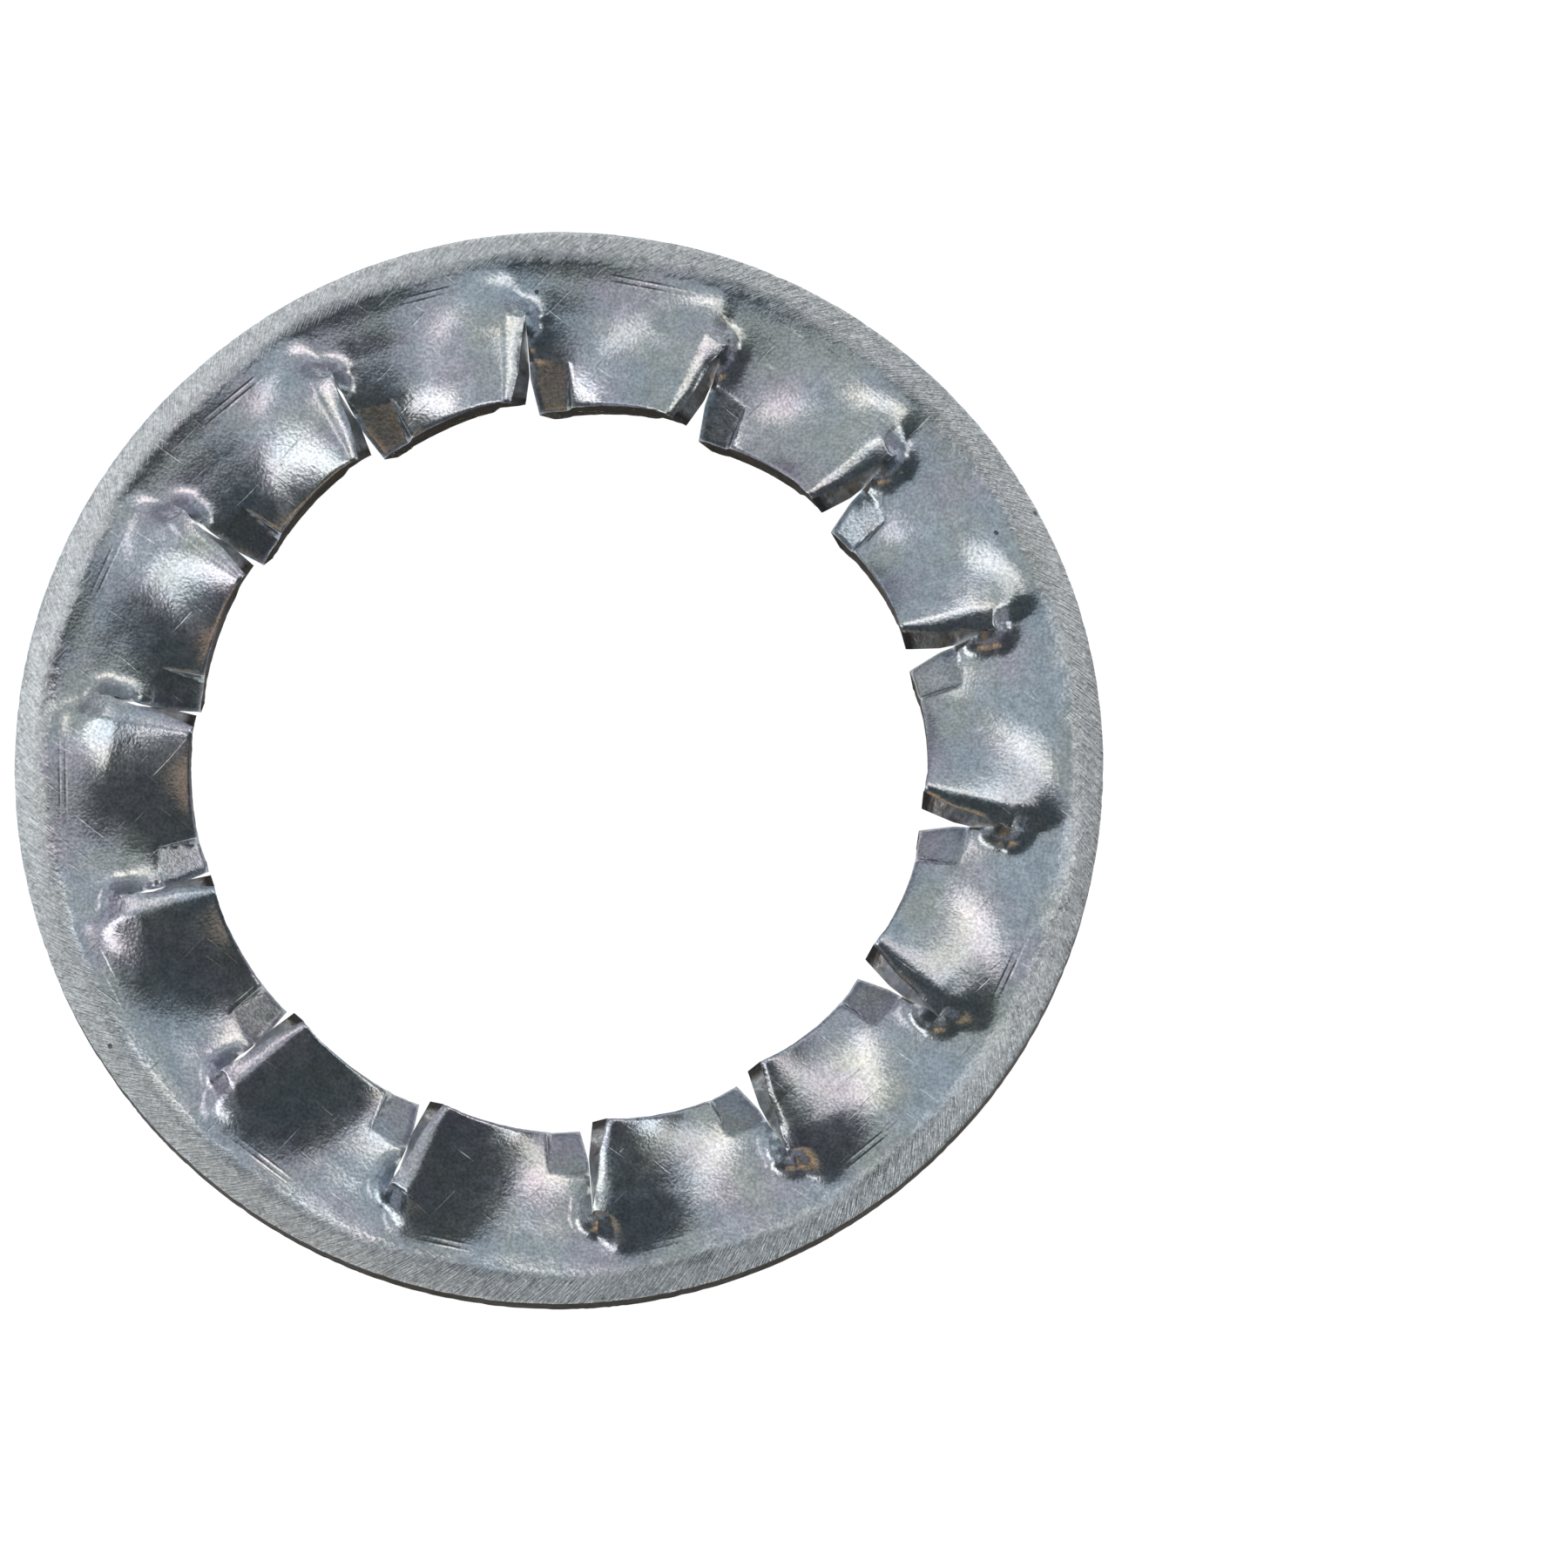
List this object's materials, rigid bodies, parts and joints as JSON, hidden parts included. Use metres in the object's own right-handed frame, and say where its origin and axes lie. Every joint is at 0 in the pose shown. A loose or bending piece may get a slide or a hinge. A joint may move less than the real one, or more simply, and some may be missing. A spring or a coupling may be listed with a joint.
{
  "type": "internal toothed lock washer",
  "caption": "Flat spring-steel ring whose bore side is slit into twisted teeth that bite into a screw head and the part beneath it.",
  "frame": {"origin": "on the bore's axis, halfway up the flat rim", "axes": "+Z along the bore's axis, out of the side whose teeth stand up at their clockwise ends; +X runs along a slit"},
  "size_m": [0.0258, 0.0258, 0.0026],
  "materials": {
    "plated_spring_steel": "zinc plated and blue passivated, semi-gloss, with the grain of the rolled strip"
  },
  "bodies": {
    "root": {"lock_washer": "plated_spring_steel"}
  },
  "joints": []
}
